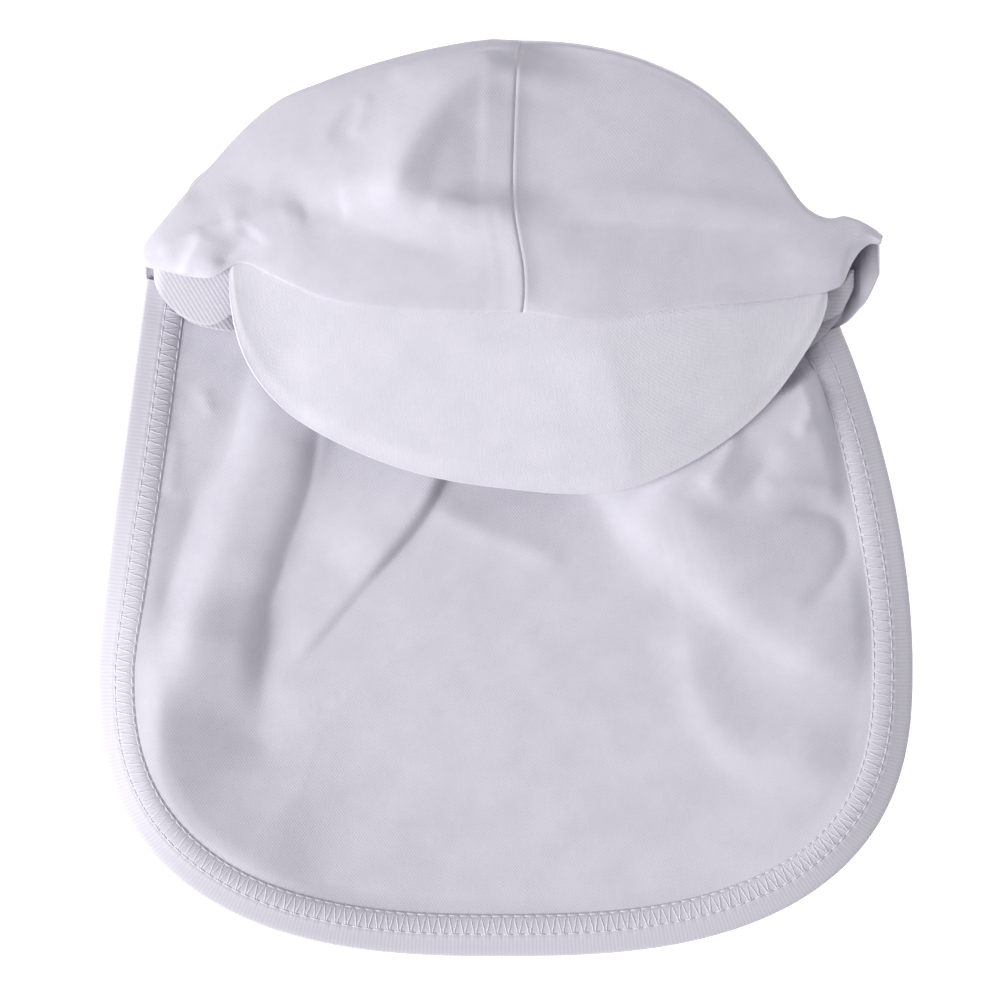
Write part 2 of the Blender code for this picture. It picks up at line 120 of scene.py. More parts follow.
# Crown panels: two halves of white cotton interlock jersey, cut to a half dome and joined by one overlocked
# seam from the peak to the nape. Laid on its back, the crown sags into soft folds, the deepest of them left
# of the seam.
CROWN_WIDTH = 0.2054
CROWN_DEPTH = 0.0753
CROWN_HEIGHT = 0.030
FLAP_WIDTH = 0.2276
FLAP_LENGTH = 0.1794
KNIT = 0.0012
SAME_PLACE = 0.00001
GAP = 0.0003
BINDING_WALL = 0.0010
BAND_WALL = 0.0017
BAND_SLIT = 0.0022
PEAK_WALL = 0.0032
PEAK_CLEARANCE = 0.0005
CROWN_SHIFT = 0.0014
MOUTH_Y = (FLAP_LENGTH - CROWN_DEPTH) / 2
CROWN_REACH = CROWN_WIDTH / 2

# Heights of the layers that lie on each other at the ears. PEAK_SLOPE makes the peak's layer a little higher
# than its wall, and the corners of the binding's section reach past its wall
PEAK_SLOPE = 1.12
BINDING_CORNER = math.radians(30)
BOUND_WALL = KNIT + 2 * (GAP + BINDING_WALL / math.cos(BINDING_CORNER))
EAR_HEIGHT = BOUND_WALL + 2 * GAP + 2 * BAND_WALL + BAND_SLIT
PEAK_LAYER = PEAK_SLOPE * PEAK_WALL + PEAK_CLEARANCE
EAR_NOSE = 3.2 * KNIT

# Shares of the way over the crown from its front edge to its back edge: at its far end, and on the floor
FAR_WAY = 0.68
FLOOR_WAY = 0.84

# Faces of a panel, across it and over the crown. They are closer together at the ears, and FAR_FACES is the
# share of them that lies before the crown's far end
CROWN_FACES = (116, 190)
EAR_CROWDING = 0.25
FAR_FACES = 0.76

# Where the peak's layer comes in under the front edge, as shares of the crown's reach
PEAK_START = (-0.90, -0.80)

# The tips of the ears: the share of the reach where they start, and how far they close in height and are
# pulled together in depth, the latter as far as TIP_END_WAY on the way over the crown
TIP_START = 0.93
TIP_CLOSING = 0.2
TIP_PULL = 0.7
TIP_END_WAY = 0.75

# The back lobe of the right ear lifts off the floor between these shares of the reach
LOBE_START = (0.90, 0.98)
LOBE_RISE = 0.0070

# The seam: its allowance lies on the left and shows as a faint step. Near the front the cloth stands up in
# a ridge along it, and further back the right panel falls away from it
SEAM_ALLOWANCE = 0.0078
SEAM_RAISE = 0.00025
SEAM_STEP = 0.002
SEAM_GROOVE = 0.0016
SEAM_RIDGE = 0.0010
RIDGE_LEFT = 0.0070
RIDGE_RIGHT = 0.0055
RIDGE_WAY = (0.30, 0.37)
FALL_WIDTH = 0.045

# The crown from above, by share of CROWN_REACH. front, far and back are shares of CROWN_DEPTH beyond the
# mouth line, rim and crest are shares of what CROWN_HEIGHT leaves above the ears
CROWN = (
    # across, front, far, back, rim, crest
    (-1.00, 0.155, 0.265, 0.140, 0.06, 0.23),
    (-0.95, 0.160, 0.330, 0.125, 0.11, 0.34),
    (-0.88, 0.140, 0.440, 0.108, 0.20, 0.46),
    (-0.80, 0.135, 0.560, 0.092, 0.30, 0.56),
    (-0.73, 0.185, 0.665, 0.078, 0.39, 0.64),
    (-0.64, 0.135, 0.770, 0.062, 0.47, 0.73),
    (-0.50, 0.052, 0.855, 0.040, 0.52, 0.84),
    (-0.34, 0.018, 0.928, 0.015, 0.60, 0.93),
    (-0.15, 0.003, 0.982, -0.005, 0.66, 1.00),
    (0.05, 0.000, 1.000, -0.022, 0.68, 1.00),
    (0.22, -0.032, 0.980, -0.034, 0.67, 0.96),
    (0.37, 0.002, 0.925, -0.042, 0.63, 0.89),
    (0.55, 0.030, 0.790, -0.050, 0.47, 0.79),
    (0.70, 0.050, 0.570, -0.054, 0.29, 0.68),
    (0.80, 0.070, 0.385, -0.056, 0.15, 0.59),
    (0.87, 0.090, 0.352, -0.052, 0.08, 0.52),
    (0.895, 0.110, 0.360, -0.040, 0.06, 0.49),
    (0.92, 0.184, 0.352, -0.020, 0.04, 0.46),
    (0.943, 0.230, 0.340, 0.015, 0.02, 0.44),
    (0.967, 0.252, 0.325, 0.055, 0.01, 0.41),
    (1.00, 0.244, 0.290, 0.150, 0.00, 0.35),
)

# A section of the crown from the front edge over the bulge, the crest and the far end to the floor
CROWN_SECTION = (
    # way, along, of_rim, of_crest
    (0.00, 0.000, 1.000, 0.000),
    (0.05, 0.012, 0.900, 0.100),
    (0.10, 0.045, 0.780, 0.220),
    (0.16, 0.110, 0.610, 0.390),
    (0.23, 0.205, 0.410, 0.590),
    (0.30, 0.310, 0.220, 0.780),
    (0.36, 0.425, 0.080, 0.920),
    (0.43, 0.590, 0.010, 0.990),
    (0.50, 0.800, 0.000, 1.000),
    (0.56, 0.945, 0.000, 0.992),
    (0.62, 0.990, 0.000, 0.940),
    (0.68, 1.000, 0.000, 0.610),
    (0.74, 0.995, 0.000, 0.300),
    (0.79, 0.945, 0.000, 0.090),
    (0.84, 0.850, 0.000, 0.000),
)

# The seam, metres from the hat's middle by share of the way from the front edge to the back edge
SEAM = (
    # way, x
    (0.00, 0.0046),
    (0.22, 0.0046),
    (0.27, 0.0036),
    (0.34, 0.0022),
    (0.50, 0.0026),
    (0.62, 0.0040),
    (0.80, 0.0030),
    (1.00, 0.0030),
)

# Folds of the crown, as lines through places in the camera's 1000 x 1000 picture. rise: mm, dents below 0.
# left and right: how far the fold spreads, in picture pixels, seen along a line that runs down the picture.
# On a line that runs to the right, right is above it. round: 1 for a sharp crest, 2 for a soft one, and more
# for a flat top
CROWN_FOLDS = (
    # rise, left, right, round, places
    (5.6, 95, 98, 1.9, ((502, 8), (459, 88), (424, 154), (394, 244))),
    (3.7, 25, 21, 1.7, ((512, 10), (477, 70), (448, 98), (424, 128), (407, 158), (396, 190), (388, 222))),
    (-1.9, 40, 92, 1.9, ((505, 60), (494, 110), (488, 160), (486, 214))),
    (-0.5, 12, 34, 1.8, ((466, 104), (450, 140), (438, 174), (430, 206))),
    (0.3, 10, 14, 1.7, ((496, 50), (490, 90), (487, 126), (489, 160))),
    (-0.9, 8, 20, 1.8, ((404, 66), (379, 90), (357, 108), (330, 150))),
    (0.5, 7, 8, 1.6, ((370, 92), (362, 118), (356, 142))),
    (0.9, 20, 8, 1.6, ((424, 222), (449, 200), (466, 204), (485, 207), (504, 203), (518, 206))),
    (-0.9, 34, 14, 1.8, ((530, 226), (600, 226), (690, 232), (770, 236), (830, 236))),
    (-0.8, 26, 16, 1.8, ((290, 232), (350, 240), (420, 236), (490, 230))),
    (0.5, 14, 12, 1.8, ((540, 192), (620, 192), (700, 200), (790, 212))),
    (-1.0, 14, 16, 1.9, ((296, 214), (322, 208), (350, 204))),
    (1.2, 16, 14, 1.7, ((222, 226), (262, 214), (300, 204))),
    (1.0, 20, 8, 1.6, ((150, 256), (186, 238), (206, 230), (226, 224), (250, 210))),
    (1.1, 8, 16, 1.6, ((206, 226), (197, 247), (190, 261), (184, 284))),
    (-1.4, 15, 15, 1.9, ((256, 226), (238, 248), (222, 272))),
    (-0.8, 14, 22, 1.9, ((180, 200), (225, 178), (270, 190))),
)

# A fold's samples along its line, the share of its length over which an end fades out, and the number of
# its spreads past which it isn't felt
FOLD_SAMPLES = 44
FOLD_FADE = 0.22
FOLD_REACH = 3.2

# Shares of the way over the crown, and of its reach, between which its folds fade out at its edges
FOLDS_AT_FRONT = (0.03, 0.15)
FOLDS_AT_BACK = (0.52, 0.64)
FOLDS_AT_EARS = (0.93, 0.99)


def read(table, column, at):
    """One column of a table, read smoothly at places along its first column."""
    knots = np.array([row[0] for row in table])
    values = np.array([row[column] for row in table])
    slopes = np.gradient(values, knots)
    at = np.clip(np.asarray(at, float), knots[0], knots[-1])
    low = np.clip(np.searchsorted(knots, at, side="right") - 1, 0, len(knots) - 2)
    span = knots[low + 1] - knots[low]
    t = (at - knots[low]) / span
    start = (1 + 2 * t) * (1 - t) ** 2 * values[low] + t * (1 - t) ** 2 * span * slopes[low]
    end = t**2 * (3 - 2 * t) * values[low + 1] + t**2 * (t - 1) * span * slopes[low + 1]
    return start + end


def ramp(t):
    """0 up to 0, 1 from 1 on, and smooth between."""
    t = np.clip(t, 0, 1)
    return t * t * (3 - 2 * t)


def between(value, limits):
    """0 up to the first limit, 1 from the second on, and smooth between."""
    return ramp((value - limits[0]) / (limits[1] - limits[0]))


def arc(t):
    """A quarter circle's rise from 0 at 0 to 1 at 1."""
    return np.sqrt(1 - (1 - np.clip(t, 0, 1)) ** 2)


def picture_place(x, y, z):
    """Where the camera sees a place, in pixels of its picture."""
    pixel = PIXEL * (CAMERA_HEIGHT - z) / CAMERA_HEIGHT
    return PICTURE / 2 + (x - CAMERA_PLACE[0]) / pixel, PICTURE / 2 - (y - CAMERA_PLACE[1]) / pixel


def smooth_line(places, samples):
    """A smooth line through places, as evenly counted samples."""
    places = np.array(places, float)
    knots = np.concatenate([[0], np.cumsum(np.hypot(*np.diff(places, axis=0).T))])
    at = np.linspace(0, knots[-1], samples)
    rows = np.column_stack([knots, places])
    return np.stack([read(rows, 1, at), read(rows, 2, at)], -1)


def fold_relief(folds, px, py):
    """How far a table's folds lift the cloth at picture places px, py, in metres."""
    total = np.zeros(np.shape(px))
    t = np.linspace(0, 1, FOLD_SAMPLES)
    for rise, left, right, roundness, places in folds:
        line = smooth_line(places, FOLD_SAMPLES)
        way = np.gradient(line, axis=0)
        steps = np.linalg.norm(way, axis=1)
        way /= steps[:, None]
        length = steps.sum()
        reach = FOLD_REACH * max(left, right)
        low, high = line.min(0) - reach, line.max(0) + reach
        near = (px > low[0]) & (px < high[0]) & (py > low[1]) & (py < high[1])
        off_x, off_y = px[near][:, None] - line[:, 0], py[near][:, None] - line[:, 1]
        distance = np.hypot(off_x, off_y)
        nearest = distance.argmin(1)
        rows = np.arange(len(nearest))
        side = off_x[rows, nearest] * way[nearest, 1] - off_y[rows, nearest] * way[nearest, 0]
        ahead = off_x[rows, nearest] * way[nearest, 0] + off_y[rows, nearest] * way[nearest, 1]
        at_end = (nearest == 0) | (nearest == FOLD_SAMPLES - 1)
        closest = np.where(at_end, distance[rows, nearest], np.abs(side))
        spread = left + (right - left) * ramp(side / (left + right) * 2 + 0.5)
        along = t[nearest] + ahead / length
        fade = ramp(along / FOLD_FADE) * ramp((1 - along) / FOLD_FADE)
        total[near] += rise * fade * np.exp(-((closest / spread) ** roundness))
    return total / 1000


def face_normals(places):
    """The unit normals of a grid of places."""
    across, along = np.gradient(places, axis=0), np.gradient(places, axis=1)
    normal = np.cross(across, along)
    return normal / np.maximum(np.linalg.norm(normal, axis=-1), 1e-12)[..., None]


def cloth_run(places, axis):
    """Length along a grid's lines, in mm, from its first line."""
    steps = np.linalg.norm(np.diff(places, axis=axis), axis=-1)
    run = np.cumsum(steps, axis=axis) * 1000
    start = np.zeros_like(np.take(run, [0], axis=axis))
    return np.concatenate([start, run], axis=axis)


def cloth_piece(name, places, cloth, finish, wall, side):
    """A piece of cloth from a grid of places, with their mm across and along the knit.

    It gets a wall, outwards or inwards by side, or is a closed shell already where wall is 0.
    """
    columns, rows = places.shape[0] - 1, places.shape[1] - 1
    shape = bmesh.new()
    bmesh.ops.create_grid(shape, x_segments=columns, y_segments=rows, size=1)
    knit = shape.loops.layers.uv.new("knit")
    spot = {}
    for vertex in shape.verts:
        i, j = round((vertex.co.x + 1) / 2 * columns), round((vertex.co.y + 1) / 2 * rows)
        spot[vertex] = (i, j)
        vertex.co = places[i, j]
    for face in shape.faces:
        for corner in face.loops:
            corner[knit].uv = cloth[spot[corner.vert]]
    bmesh.ops.remove_doubles(shape, verts=shape.verts, dist=SAME_PLACE)
    if not wall:
        bmesh.ops.holes_fill(shape, edges=[edge for edge in shape.edges if edge.is_boundary], sides=0)
    mesh = bpy.data.meshes.new(name)
    shape.to_mesh(mesh)
    shape.free()
    mesh.shade_smooth()
    mesh.materials.append(finish)
    piece = bpy.data.objects.new(name, mesh)
    bpy.context.scene.collection.objects.link(piece)
    if wall:
        solid = piece.modifiers.new("wall", "SOLIDIFY")
        solid.thickness = wall
        solid.offset = side
        solid.use_even_offset = False
    return piece


def crown_across(x):
    """The share of the crown's reach at x."""
    return (np.asarray(x) - CROWN_SHIFT) / CROWN_REACH


def front_y(across):
    """Where the crown's front edge lies over the peak."""
    return MOUTH_Y + CROWN_DEPTH * read(CROWN, 1, across)


def back_y(across):
    """Where the crown's back edge lies, to which the flap is sewn."""
    return MOUTH_Y + CROWN_DEPTH * read(CROWN, 3, across)


def peak_layer(across):
    """Height of the peak's layer under the crown's front edge, none of it at the tip of the left ear."""
    return PEAK_LAYER * between(across, PEAK_START)


def rim_height(across):
    """Height of the crown's front edge, which the peak and the band pass under."""
    above = CROWN_HEIGHT - EAR_HEIGHT - PEAK_LAYER
    return EAR_HEIGHT + peak_layer(across) + above * read(CROWN, 4, across)


def crown_places(across, way):
    """Places on the crown's outer face, before its folds."""
    far_y = MOUTH_Y + CROWN_DEPTH * read(CROWN, 2, across)
    front, back = front_y(across), back_y(across)
    rising = np.minimum(way, FLOOR_WAY)
    y = front + (far_y - front) * read(CROWN_SECTION, 1, rising)
    y = y + (back - y) * np.clip((way - FLOOR_WAY) / (1 - FLOOR_WAY), 0, 1)
    low = EAR_HEIGHT + EAR_NOSE
    crest = low + (CROWN_HEIGHT - low) * read(CROWN, 5, across)
    z = rim_height(across) * read(CROWN_SECTION, 2, rising) + crest * read(CROWN_SECTION, 3, rising)
    past_start = np.clip((np.abs(across) - TIP_START) / (1 - TIP_START), 0, 1)
    rounding = 1 - np.sqrt(1 - past_start**2)
    pull = TIP_PULL * rounding * (1 - between(way, (TIP_END_WAY, FLOOR_WAY)))
    y = y + ((front + far_y) / 2 - y) * pull
    z = EAR_HEIGHT / 2 + (z - EAR_HEIGHT / 2) * (1 - TIP_CLOSING * rounding)
    z = z + LOBE_RISE * between(across, LOBE_START) * between(way, (FAR_WAY, FLOOR_WAY))
    return np.stack([CROWN_SHIFT + CROWN_REACH * across, y, z], -1)


def crowded(share):
    """Even shares of the way out to an ear, moved closer together at the ear."""
    return share * (1 + EAR_CROWDING - EAR_CROWDING * share**2)


def crown_panel(name, left, finish):
    """One half of the crown, with its folds and its side of the seam."""
    columns, rows = CROWN_FACES
    share, t = np.meshgrid(np.linspace(0, 1, columns + 1), np.linspace(0, 1, rows + 1), indexing="ij")
    way = np.interp(t, (0, FAR_FACES, 1), (0, FAR_WAY, 1))
    seam = crown_across(read(SEAM, 1, way))
    if left:
        across = seam - (seam + 1) * crowded(1 - share)
    else:
        across = seam + (1 - seam) * crowded(share)
    places = crown_places(across, way)
    middle = cloth_run(places, 0)[:, rows // 2, None]
    cloth = np.stack([np.broadcast_to(middle, way.shape), cloth_run(places, 1)], -1)
    outward = face_normals(places)
    upper = between(way, FOLDS_AT_FRONT) * (1 - between(way, FOLDS_AT_BACK))
    upper = upper * (1 - between(np.abs(across), FOLDS_AT_EARS))
    lift = fold_relief(CROWN_FOLDS, *picture_place(*np.moveaxis(places, -1, 0))) * upper
    from_seam = np.abs(across - seam) * CROWN_REACH
    at_front = 1 - between(way, RIDGE_WAY)
    if left:
        lift += SEAM_RIDGE * ramp(1 - from_seam / RIDGE_LEFT) * at_front * upper
        lift += SEAM_RAISE * (1 - between(from_seam, (SEAM_ALLOWANCE, SEAM_ALLOWANCE + SEAM_STEP)))
        lift -= SEAM_RAISE * np.clip(1 - from_seam / SEAM_GROOVE, 0, 1) ** 2
    else:
        beside = np.clip(1 - from_seam / RIDGE_RIGHT, 0, 1) ** 2
        fallen = (1 - beside) * ramp(1 - from_seam / FALL_WIDTH)
        lift += SEAM_RIDGE * (beside * at_front - fallen * (1 - at_front)) * upper
    places = places + outward * lift[..., None]
    places[..., 2] = np.maximum(places[..., 2], 0)
    piece = cloth_piece(name, places, cloth, finish, KNIT, -1)
    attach(piece, "root")
    return piece


# The knit of the jersey, by mm from wale to wale and from course to course. Its loops are flattened in
# patches by washing, fibres of its nap lie in streaks along the wales, and its white is faintly mottled
WALE = 0.84
COURSE = 1.15
LEFT_LEG = 0.75
PATCHES_PER_MM = 0.55
STREAKS_PER_MM = (1.5, 0.32, 1)
MOTTLES_PER_METRE = 85
UNWORN = (0.38, 0.62)
JERSEY_LOOP_DEPTH = 0.00006
JERSEY_RELIEF = 0.30
# Painted shade: how much darker the colour is made where the knit's loops and nap streaks dip
LOOP_PAINTED_SHADE = 0.05
CROWN_NAP = 1.8
JERSEY_LIGHT = "#DEDBE6"
JERSEY_DARK = "#D2CFDB"

# The finish of all the cotton, jersey and rib: matt, with the faint sheen of its fibres
COTTON_ROUGHNESS = 0.92
COTTON_SHINE = 0.25
COTTON_SHEEN = 0.12


def interlock_jersey(name, nap, light, dark):
    """Combed cotton interlock: fine V-shaped loops in columns, matt with a faint nap, a cool white, with
    painted shade where its loops dip.
    """
    jersey = bpy.data.materials.new(name)
    jersey.use_nodes = True
    finish = jersey.node_tree.nodes["Principled BSDF"]
    knit = add_node(jersey, "ShaderNodeUVMap", {}, uv_map="knit").outputs["UV"]
    split = add_node(jersey, "ShaderNodeSeparateXYZ", {"Vector": knit})
    inputs = {0: split.outputs["X"], 1: 2 * math.pi / WALE}
    turn = add_node(jersey, "ShaderNodeMath", inputs, operation="MULTIPLY")
    legs = []
    for step in (2 * math.pi / COURSE, -2 * math.pi / COURSE):
        inputs = {0: split.outputs["Y"], 1: step, 2: turn.outputs[0]}
        slope = add_node(jersey, "ShaderNodeMath", inputs, operation="MULTIPLY_ADD")
        legs.append(add_node(jersey, "ShaderNodeMath", {0: slope.outputs[0]}, operation="SINE"))
    right_leg, left_leg = legs
    inputs = {0: left_leg.outputs[0], 1: LEFT_LEG, 2: right_leg.outputs[0]}
    loop = add_node(jersey, "ShaderNodeMath", inputs, operation="MULTIPLY_ADD")
    inputs = {"Vector": knit, "Scale": PATCHES_PER_MM, "Detail": 3, "Roughness": 0.7}
    patches = add_node(jersey, "ShaderNodeTexNoise", inputs)
    inputs = {"Value": patches.outputs["Fac"], "From Min": UNWORN[0], "From Max": UNWORN[1]}
    unworn = add_node(jersey, "ShaderNodeMapRange", inputs)
    inputs = {0: loop.outputs[0], 1: unworn.outputs[0]}
    broken = add_node(jersey, "ShaderNodeMath", inputs, operation="MULTIPLY")
    drawn_out = add_node(jersey, "ShaderNodeMapping", {"Vector": knit, "Scale": STREAKS_PER_MM})
    inputs = {"Vector": drawn_out.outputs[0], "Scale": 1.0, "Detail": 2, "Roughness": 0.6}
    streaks = add_node(jersey, "ShaderNodeTexNoise", inputs)
    inputs = {0: streaks.outputs["Fac"], 1: nap, 2: broken.outputs[0]}
    fuzzy = add_node(jersey, "ShaderNodeMath", inputs, operation="MULTIPLY_ADD")
    inputs = {"Height": fuzzy.outputs[0], "Strength": JERSEY_RELIEF, "Distance": JERSEY_LOOP_DEPTH}
    relief = add_node(jersey, "ShaderNodeBump", inputs)
    spot = add_node(jersey, "ShaderNodeTexCoord", {})
    inputs = {"Vector": spot.outputs["Object"], "Scale": MOTTLES_PER_METRE, "Detail": 4, "Roughness": 0.62}
    mottle = add_node(jersey, "ShaderNodeTexNoise", inputs)
    # Painted shade: the colour follows the knit's relief, darker where it dips, over a random mottle
    inputs = {0: fuzzy.outputs[0], 1: LOOP_PAINTED_SHADE, 2: mottle.outputs["Fac"]}
    shade = add_node(jersey, "ShaderNodeMath", inputs, operation="MULTIPLY_ADD")
    tone = add_node(jersey, "ShaderNodeValToRGB", {"Fac": shade.outputs[0]})
    tone.color_ramp.elements[0].position = 0.38
    tone.color_ramp.elements[0].color = (*linear(dark), 1)
    tone.color_ramp.elements[1].position = 0.95
    tone.color_ramp.elements[1].color = (*linear(light), 1)
    jersey.node_tree.links.new(tone.outputs["Color"], finish.inputs["Base Color"])
    jersey.node_tree.links.new(relief.outputs["Normal"], finish.inputs["Normal"])
    finish.inputs["Roughness"].default_value = COTTON_ROUGHNESS
    finish.inputs["Specular IOR Level"].default_value = COTTON_SHINE
    finish.inputs["Sheen Weight"].default_value = COTTON_SHEEN
    finish.inputs["Sheen Roughness"].default_value = 0.5
    return jersey


jersey = interlock_jersey("cotton_interlock_jersey", CROWN_NAP, JERSEY_LIGHT, JERSEY_DARK)
crown_left = crown_panel("crown_left_jersey", True, jersey)
crown_right = crown_panel("crown_right_jersey", False, jersey)
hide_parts("crown_left")
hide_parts("crown_right")


# Peak: two layers of the same jersey over a soft foam pad, sewn right sides together and turned, so that its
# edge is plain and round. It is caught in the rim seam, and a crease runs across it right of the middle.
PEAK_WIDTH = 0.1660
PEAK_DEPTH = 0.0503
PEAK_SHIFT = 0.0063
PEAK_TUCK = 0.0040
PEAK_EDGE_HEIGHT = 0.0130
PEAK_REACH = PEAK_WIDTH / 2
CORNER_START = 0.55
EDGE_ROUND = 0.0004
EDGE_DROP = 0.0006
DROP_WIDTH = 0.007
CREASE_FADE = 0.3
PEAK_FACES = (150, 90)

# The peak gets a copy of the jersey painted a little lighter than the crown's, as painted light, that shows
# more of its nap
PEAK_NAP = 4.5
LIT_COPY_LIGHT = "#E6E3ED"
LIT_COPY_DARK = "#DBD9E3"

# The peak's free edge: turn is a share of a quarter turn from the middle, reach a share of PEAK_DEPTH
PEAK_EDGE = (
    # turn, reach
    (-1.00, -0.240),
    (-0.81, 0.205),
    (-0.62, 0.520),
    (-0.44, 0.720),
    (-0.22, 0.900),
    (-0.02, 0.978),
    (0.10, 1.000),
    (0.20, 0.980),
    (0.37, 0.820),
    (0.56, 0.553),
    (0.75, 0.220),
    (1.00, -0.115),
)

# The peak's crease and the soft swell of its left half, given as the crown's folds are
PEAK_FOLDS = (
    # rise, left, right, round, places
    (1.5, 90, 75, 1.0, ((592, 250), (598, 325), (613, 380), (628, 470), (634, 560))),
    (0.6, 40, 60, 1.8, ((300, 330), (330, 380), (370, 430))),
)


def peak_upper(across, along):
    """Places on the peak's upper face, before its crease."""
    turn = across * math.pi / 2
    edge_x = PEAK_SHIFT + PEAK_REACH * np.sin(turn)
    edge_y = MOUTH_Y - PEAK_DEPTH * read(PEAK_EDGE, 1, across)
    root_x = PEAK_SHIFT + (PEAK_REACH - PEAK_TUCK / 2) * np.sin(turn)
    root_y = front_y(crown_across(root_x)) + PEAK_TUCK
    root_z = rim_height(crown_across(root_x)) - PEAK_CLEARANCE
    corner = between(np.abs(across), (CORNER_START, 1))
    low = EAR_HEIGHT + PEAK_LAYER
    edge_z = low + (PEAK_EDGE_HEIGHT - low) * np.cos(turn)
    edge_z = edge_z + (root_z - edge_z) * corner
    edge = np.stack([edge_x, edge_y, edge_z], -1)
    root = np.stack([root_x, root_y, root_z], -1)
    return edge + (root - edge) * along[..., None]


columns, rows = PEAK_FACES
turn, along = np.meshgrid(np.linspace(-1, 1, columns + 1), np.linspace(0, 1, rows + 1) ** 2, indexing="ij")
upper = peak_upper(turn, along)
facing = face_normals(upper)
creased = fold_relief(PEAK_FOLDS, *picture_place(*np.moveaxis(upper, -1, 0)))
upper[..., 2] += creased * ramp((1 - along) / CREASE_FADE)
inset = cloth_run(upper, 1) / 1000
roundness = arc(inset / EDGE_ROUND)
half = PEAK_WALL / 2
dropped = EDGE_DROP * ramp(1 - inset / DROP_WIDTH) * roundness
top = upper - facing * ((1 - roundness) * half + dropped)[..., None]
under = upper - facing * ((1 + roundness) * half)[..., None]
places = np.concatenate([under[:, ::-1], top[:, 1:]], axis=1)
cloth = np.stack([places[..., 0] * 1000, cloth_run(places, 1)], -1)
# Painted light: the peak's copy of the jersey is a little lighter than the jersey of the crown and flap
lit_copy_jersey = interlock_jersey("interlock_jersey_lit_copy", PEAK_NAP, LIT_COPY_LIGHT, LIT_COPY_DARK)
peak = cloth_piece("peak_padded_jersey", places, cloth, lit_copy_jersey, 0, 0)
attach(peak, "root")
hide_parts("peak")


# Rim band: a folded strip of white 1x1 cotton rib, sewn round the head opening. It stretches to the head, and
# lies flat under the peak; it shows beside the peak's left corner and in the loop of the right ear.
BAND_WIDTH = 0.0170
LEFT_TURN = -0.97
RIGHT_TURN = 0.93
BAND_FACES = (420, 22)

# The band by shares of BAND_WIDTH: how far in its back edge is sewn, its width at an ear's nose and the
# most that its free edge sinks. SLIT_CLOSING: the share of its slit that the sunk edge may close
BAND_BACK = 0.35
BAND_NOSE = 0.25
BAND_SINK = 0.4
SLIT_CLOSING = 0.33

# At the right ear the band widens more slowly: over this many widths, for this share of its widening
SLOW_REACH = 1.7
SLOW_SHARE = 0.65

# Shares of the crown's reach between which the band climbs onto the flap's binding
ON_BINDING = (0.68, 0.78)

# The rib, by mm from wale to wale and from course to course. LEFT_WALES: the direction across the wales of
# the loop at the left ear, which is pulled askew
RIB = 1.10
RIB_COURSE = 0.75
RIB_LOOP = 0.14
RIB_SLANT = 2.2
RIB_DEPTH = 0.00026
BAND_GROOVE = 0.30
LEFT_WALES = (0.853, 0.522)
# The rib's colour runs from a painted shade in its grooves to the colour on the crests of its wales
RIB_LIGHT = "#D5D2DD"
RIB_GROOVE_PAINTED_SHADE = "#CDCAD5"


def rib_knit(name, groove):
    """Cotton 1x1 rib: rounded wales with grooves between them, matt, a shade greyer than the jersey, with
    painted shade in the grooves.
    """
    rib = bpy.data.materials.new(name)
    rib.use_nodes = True
    finish = rib.node_tree.nodes["Principled BSDF"]
    loops = add_node(rib, "ShaderNodeUVMap", {}, uv_map="knit")
    split = add_node(rib, "ShaderNodeSeparateXYZ", {"Vector": loops.outputs["UV"]})
    turn = add_node(rib, "ShaderNodeMath", {0: split.outputs["X"], 1: math.pi / RIB}, operation="MULTIPLY")
    wave = add_node(rib, "ShaderNodeMath", {0: turn.outputs[0]}, operation="SINE")
    wale = add_node(rib, "ShaderNodeMath", {0: wave.outputs[0]}, operation="ABSOLUTE")
    inputs = {0: split.outputs["Y"], 1: 2 * math.pi / RIB_COURSE}
    step = add_node(rib, "ShaderNodeMath", inputs, operation="MULTIPLY")
    inputs = {0: wale.outputs[0], 1: RIB_SLANT, 2: step.outputs[0]}
    slant = add_node(rib, "ShaderNodeMath", inputs, operation="MULTIPLY_ADD")
    leg = add_node(rib, "ShaderNodeMath", {0: slant.outputs[0]}, operation="SINE")
    inputs = {0: leg.outputs[0], 1: RIB_LOOP, 2: wale.outputs[0]}
    loop = add_node(rib, "ShaderNodeMath", inputs, operation="MULTIPLY_ADD")
    inputs = {"Height": loop.outputs[0], "Strength": groove, "Distance": RIB_DEPTH}
    relief = add_node(rib, "ShaderNodeBump", inputs)
    # Painted shade: the colour is darker in the grooves between the wales and lighter on their crests
    tone = add_node(rib, "ShaderNodeValToRGB", {"Fac": loop.outputs[0]})
    tone.color_ramp.elements[0].position = 0.0
    tone.color_ramp.elements[0].color = (*linear(RIB_GROOVE_PAINTED_SHADE), 1)
    tone.color_ramp.elements[1].position = 0.8
    tone.color_ramp.elements[1].color = (*linear(RIB_LIGHT), 1)
    rib.node_tree.links.new(tone.outputs["Color"], finish.inputs["Base Color"])
    rib.node_tree.links.new(relief.outputs["Normal"], finish.inputs["Normal"])
    finish.inputs["Roughness"].default_value = COTTON_ROUGHNESS
    finish.inputs["Specular IOR Level"].default_value = COTTON_SHINE
    finish.inputs["Sheen Weight"].default_value = COTTON_SHEEN
    return rib


